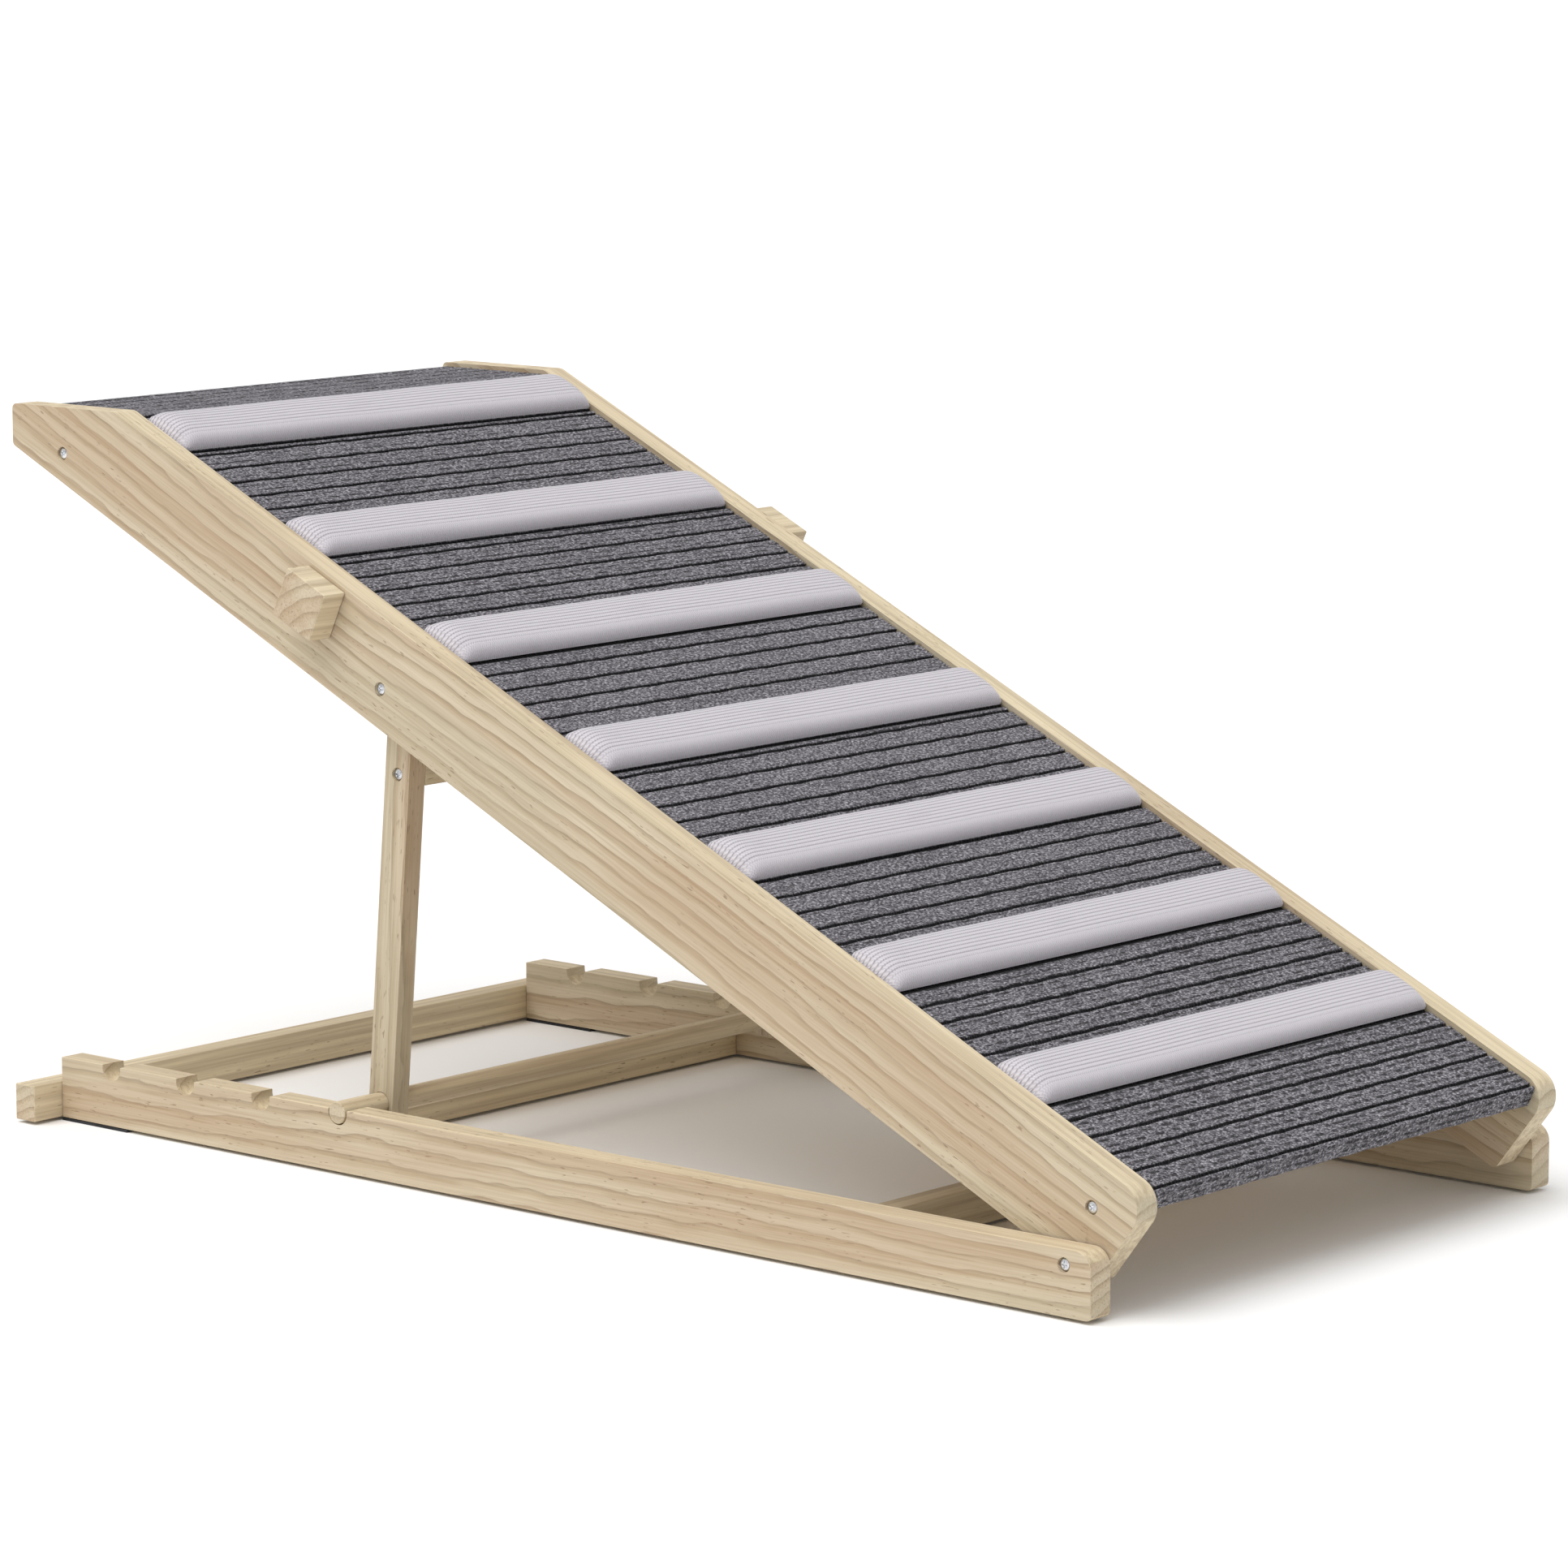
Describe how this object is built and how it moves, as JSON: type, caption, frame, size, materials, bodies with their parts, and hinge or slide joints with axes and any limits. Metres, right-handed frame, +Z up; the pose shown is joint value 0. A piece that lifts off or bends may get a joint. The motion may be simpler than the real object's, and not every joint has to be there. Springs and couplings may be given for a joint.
{
  "type": "folding pet ramp",
  "caption": "Sloping timber ramp with a ribbed carpet and padded cross rungs, hinged on a low notched base frame and propped by a swinging leg frame.",
  "frame": {"origin": "centre of the footprint on the floor, below the middle of the ramp's overall length", "axes": "+X along the ramp toward its low front end, +Y to the right-hand rail, +Z up"},
  "size_m": [0.743, 0.4088, 0.3729],
  "materials": {
    "pine": "sanded clear pine with wavy grain",
    "plywood": "plain plywood",
    "carpet": "looped dark grey carpet with cross ribs",
    "rung_fabric": "ribbed pale grey fabric",
    "foam": "soft filling",
    "rubber": "matt black",
    "steel": "bright zinc"
  },
  "bodies": {
    "base": {"base_rail_left": "pine", "base_rail_right": "pine", "rear_crossbar": "pine", "mid_crossbar": "pine", "front_crossbar": "pine", "mid_bar_pin_left": "pine", "mid_bar_pin_right": "pine", "front_bar_pin_left": "pine", "front_bar_pin_right": "pine", "foot_pad_left": "rubber", "foot_pad_right": "rubber", "rear_bar_screw_left": "steel", "rear_bar_screw_right": "steel", "hinge_screw_left": "steel", "hinge_screw_right": "steel"},
    "deck": {"deck_rail_left": "pine", "deck_rail_right": "pine", "deck_panel": "plywood", "platform_panel": "plywood", "deck_carpet": "carpet", "upper_batten": "pine", "lower_batten": "pine", "side_block_left": "pine", "side_block_right": "pine", "rung_core_1": "foam", "rung_cover_1": "rung_fabric", "rung_core_2": "foam", "rung_cover_2": "rung_fabric", "rung_core_3": "foam", "rung_cover_3": "rung_fabric", "rung_core_4": "foam", "rung_cover_4": "rung_fabric", "rung_core_5": "foam", "rung_cover_5": "rung_fabric", "rung_core_6": "foam", "rung_cover_6": "rung_fabric", "rung_core_7": "foam", "rung_cover_7": "rung_fabric", "upper_batten_screw_left": "steel", "upper_batten_screw_right": "steel", "lower_batten_screw_left": "steel", "lower_batten_screw_right": "steel", "leg_pivot_screw_left": "steel", "leg_pivot_screw_right": "steel", "side_block_screw_left": "steel", "side_block_screw_right": "steel"},
    "leg_frame": {"leg_left": "pine", "leg_right": "pine", "leg_crossbar": "pine", "leg_dowel": "pine", "leg_bar_screw_left": "steel", "leg_bar_screw_right": "steel"}
  },
  "joints": [
    {"name": "ramp_tilt", "type": "hinge", "parent": "base", "child": "deck", "pos_m": [0.34207, 0, 0.0261], "axis": [0, 1, 0], "range_deg": [0, 60]},
    {"name": "leg_swing", "type": "hinge", "parent": "deck", "child": "leg_frame", "pos_m": [-0.1048, 0, 0.24681], "axis": [0, 1, 0], "range_deg": [-55, 0]}
  ],
  "couplings": [
    {"joint": "leg_swing", "follows": "ramp_tilt", "ratio": -0.9}
  ]
}
